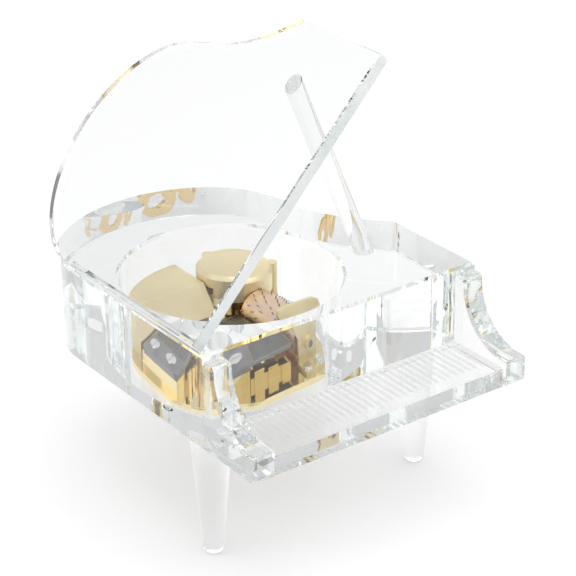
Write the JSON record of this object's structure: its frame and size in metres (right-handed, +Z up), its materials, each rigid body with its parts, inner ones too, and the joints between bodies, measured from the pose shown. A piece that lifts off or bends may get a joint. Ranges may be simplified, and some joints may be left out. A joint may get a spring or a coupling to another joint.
{
  "type": "music box",
  "caption": "Clear glass grand piano on three turned legs with an open propped lid, holding a key-wound comb and cylinder musical movement in a round well.",
  "frame": {"origin": "on the floor under the middle of the bounding box", "axes": "+Z up, -Y towards the keyboard, +X towards the open side of the lid"},
  "size_m": [0.103, 0.127, 0.145],
  "materials": {
    "crystal": "optically clear polished crystal glass",
    "gold_plate": "polished gold plate",
    "satin_gold": "satin gold plate",
    "comb_steel": "dark tempered steel, ground on top",
    "bright_screw": "bright nickelled steel",
    "drum_copper": "copper-coloured brass, fine turned",
    "pin_steel": "drawn steel",
    "wheel_brass": "turned brass",
    "fly_black": "moulded nylon",
    "key_gold": "gold-plated sheet and turned hub"
  },
  "bodies": {
    "root": {"body_block": "crystal", "keyboard_shelf": "crystal", "left_cheek": "crystal", "right_cheek": "crystal", "lid_plate": "crystal", "lid_bond": "crystal", "lid_prop": "crystal", "front_left_leg": "crystal", "front_right_leg": "crystal", "tail_leg": "crystal", "bedplate": "gold_plate", "comb": "comb_steel", "comb_screws": "bright_screw", "bracket_screws": "bright_screw", "governor_screws": "bright_screw", "mounting_screws": "bright_screw", "front_bearing_bracket": "satin_gold", "rear_bearing_bracket": "gold_plate", "click_screw": "bright_screw", "spring_housing": "satin_gold", "governor_bracket": "gold_plate", "governor_cover": "satin_gold"},
    "barrel": {"spring_barrel": "wheel_brass", "mainspring": "pin_steel"},
    "winding": {"winding_arbor": "pin_steel", "ratchet_wheel": "wheel_brass", "winding_key": "key_gold"},
    "click_pawl": {"click": "pin_steel"},
    "cylinder": {"cylinder_drum": "drum_copper", "drum_end_plates": "drum_copper", "cylinder_pins": "pin_steel", "cylinder_arbor": "pin_steel", "cylinder_pinion": "wheel_brass"},
    "governor": {"governor_arbor": "pin_steel", "governor_pinion": "wheel_brass", "governor_wheel": "wheel_brass"},
    "fly": {"fly_worm": "pin_steel", "fly_blades": "fly_black"}
  },
  "joints": [
    {"name": "barrel_turn", "type": "hinge", "parent": "root", "child": "barrel", "pos_m": [0.00098, 0.0153, 0.059], "axis": [0, 0, 1], "continuous": true},
    {"name": "cylinder_turn", "type": "hinge", "parent": "root", "child": "cylinder", "pos_m": [0.00098, -0.0067, 0.0524], "axis": [0, 1, 0], "continuous": true},
    {"name": "governor_turn", "type": "hinge", "parent": "root", "child": "governor", "pos_m": [-0.01002, 0.0153, 0.051], "axis": [0, 0, 1], "continuous": true},
    {"name": "fly_turn", "type": "hinge", "parent": "root", "child": "fly", "pos_m": [-0.01547, 0.0153, 0.0496], "axis": [0, 1, 0], "continuous": true},
    {"name": "winding_turn", "type": "hinge", "parent": "root", "child": "winding", "pos_m": [0.00098, 0.0153, 0.043], "axis": [0, 0, 1], "range_deg": [0, 1350]},
    {"name": "click_lift", "type": "hinge", "parent": "root", "child": "click_pawl", "pos_m": [0.00696, 0.01965, 0.0468], "axis": [0, 0, -1], "range_deg": [0, 12], "stiffness_Nm_per_rad": 0.0002}
  ],
  "couplings": [
    {"joint": "cylinder_turn", "follows": "barrel_turn", "ratio": 2.6667},
    {"joint": "governor_turn", "follows": "barrel_turn", "ratio": -4.5},
    {"joint": "fly_turn", "follows": "barrel_turn", "ratio": -36}
  ]
}
